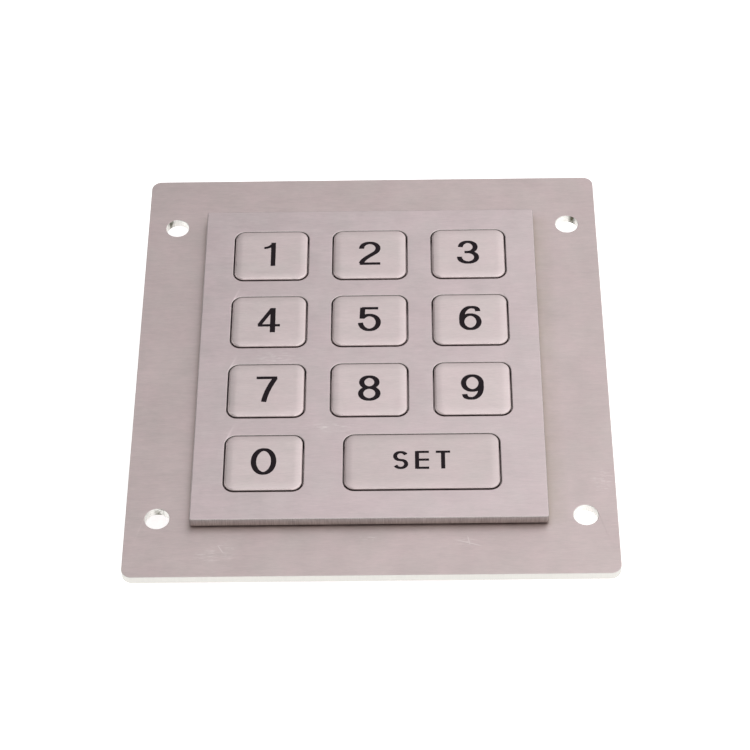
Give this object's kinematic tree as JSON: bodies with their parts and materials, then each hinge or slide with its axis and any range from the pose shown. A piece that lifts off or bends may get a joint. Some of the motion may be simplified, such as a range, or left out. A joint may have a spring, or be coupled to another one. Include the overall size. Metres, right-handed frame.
{
  "type": "keypad access reader",
  "caption": "Panel-mount stainless steel numeric keypad: brushed panel, raised plate, rounded push keys and a wide SET key, rear contact board in a pressed cover.",
  "frame": {"origin": "below the middle of the mounting panel, level with the outer face of the rear cover that the unit lies on", "axes": "+Z out of the front face, +Y towards the 1-2-3 row of keys, +X to the right as the keys are read"},
  "size_m": [0.1, 0.11, 0.0161],
  "materials": {
    "panel_steel": "fine brushed grain across the panel, satin, bright cut edges",
    "key_plate_steel": "fine brushed grain, satin, laser-cut edges",
    "key_steel": "brushed grain, rounded polished edges, black filled legends",
    "rear_steel": "mill finish, pressed",
    "stud_steel": "plain threaded stud",
    "zinc_nut": "bright zinc plate",
    "silicone": "matt moulded silicone",
    "carbon": "matt conductive carbon rubber",
    "solder_mask": "green solder mask on glass laminate",
    "chip_black": "moulded epoxy",
    "metal_can": "drawn can",
    "header_nylon": "natural nylon",
    "tinned_pin": "bright tin"
  },
  "bodies": {
    "root": {"flange_plate": "panel_steel", "key_plate": "key_plate_steel", "silicone_mat": "silicone", "pcb": "solder_mask", "controller_chip": "chip_black", "crystal": "metal_can", "capacitor": "metal_can", "connector_header": "header_nylon", "header_pin_1": "tinned_pin", "header_pin_2": "tinned_pin", "header_pin_3": "tinned_pin", "header_pin_4": "tinned_pin", "rear_cover": "rear_steel", "stud_1": "stud_steel", "stud_2": "stud_steel", "stud_3": "stud_steel", "stud_4": "stud_steel", "stud_5": "stud_steel", "stud_6": "stud_steel", "nut_1": "zinc_nut", "nut_2": "zinc_nut", "nut_3": "zinc_nut", "nut_4": "zinc_nut", "nut_5": "zinc_nut", "nut_6": "zinc_nut", "dome_0": "silicone", "dome_1": "silicone", "dome_2": "silicone", "dome_3": "silicone", "dome_4": "silicone", "dome_5": "silicone", "dome_6": "silicone", "dome_7": "silicone", "dome_8": "silicone", "dome_9": "silicone", "dome_set": "silicone"},
    "key_0_body": {"key_0": "key_steel", "contact_pill_0": "carbon"},
    "key_1_body": {"key_1": "key_steel", "contact_pill_1": "carbon"},
    "key_2_body": {"key_2": "key_steel", "contact_pill_2": "carbon"},
    "key_3_body": {"key_3": "key_steel", "contact_pill_3": "carbon"},
    "key_4_body": {"key_4": "key_steel", "contact_pill_4": "carbon"},
    "key_5_body": {"key_5": "key_steel", "contact_pill_5": "carbon"},
    "key_6_body": {"key_6": "key_steel", "contact_pill_6": "carbon"},
    "key_7_body": {"key_7": "key_steel", "contact_pill_7": "carbon"},
    "key_8_body": {"key_8": "key_steel", "contact_pill_8": "carbon"},
    "key_9_body": {"key_9": "key_steel", "contact_pill_9": "carbon"},
    "key_set_body": {"key_set": "key_steel", "contact_pill_set": "carbon"}
  },
  "joints": [
    {"name": "key_0_press", "type": "slide", "parent": "root", "child": "key_0_body", "axis": [0, 0, -1], "range_m": [0, 0.0007], "stiffness_N_per_m": 1500, "springref_m": -0.0003, "deforming": ["dome_0"]},
    {"name": "key_1_press", "type": "slide", "parent": "root", "child": "key_1_body", "axis": [0, 0, -1], "range_m": [0, 0.0007], "stiffness_N_per_m": 1500, "springref_m": -0.0003, "deforming": ["dome_1"]},
    {"name": "key_2_press", "type": "slide", "parent": "root", "child": "key_2_body", "axis": [0, 0, -1], "range_m": [0, 0.0007], "stiffness_N_per_m": 1500, "springref_m": -0.0003, "deforming": ["dome_2"]},
    {"name": "key_3_press", "type": "slide", "parent": "root", "child": "key_3_body", "axis": [0, 0, -1], "range_m": [0, 0.0007], "stiffness_N_per_m": 1500, "springref_m": -0.0003, "deforming": ["dome_3"]},
    {"name": "key_4_press", "type": "slide", "parent": "root", "child": "key_4_body", "axis": [0, 0, -1], "range_m": [0, 0.0007], "stiffness_N_per_m": 1500, "springref_m": -0.0003, "deforming": ["dome_4"]},
    {"name": "key_5_press", "type": "slide", "parent": "root", "child": "key_5_body", "axis": [0, 0, -1], "range_m": [0, 0.0007], "stiffness_N_per_m": 1500, "springref_m": -0.0003, "deforming": ["dome_5"]},
    {"name": "key_6_press", "type": "slide", "parent": "root", "child": "key_6_body", "axis": [0, 0, -1], "range_m": [0, 0.0007], "stiffness_N_per_m": 1500, "springref_m": -0.0003, "deforming": ["dome_6"]},
    {"name": "key_7_press", "type": "slide", "parent": "root", "child": "key_7_body", "axis": [0, 0, -1], "range_m": [0, 0.0007], "stiffness_N_per_m": 1500, "springref_m": -0.0003, "deforming": ["dome_7"]},
    {"name": "key_8_press", "type": "slide", "parent": "root", "child": "key_8_body", "axis": [0, 0, -1], "range_m": [0, 0.0007], "stiffness_N_per_m": 1500, "springref_m": -0.0003, "deforming": ["dome_8"]},
    {"name": "key_9_press", "type": "slide", "parent": "root", "child": "key_9_body", "axis": [0, 0, -1], "range_m": [0, 0.0007], "stiffness_N_per_m": 1500, "springref_m": -0.0003, "deforming": ["dome_9"]},
    {"name": "key_set_press", "type": "slide", "parent": "root", "child": "key_set_body", "axis": [0, 0, -1], "range_m": [0, 0.0007], "stiffness_N_per_m": 1500, "springref_m": -0.0004, "deforming": ["dome_set"]}
  ]
}
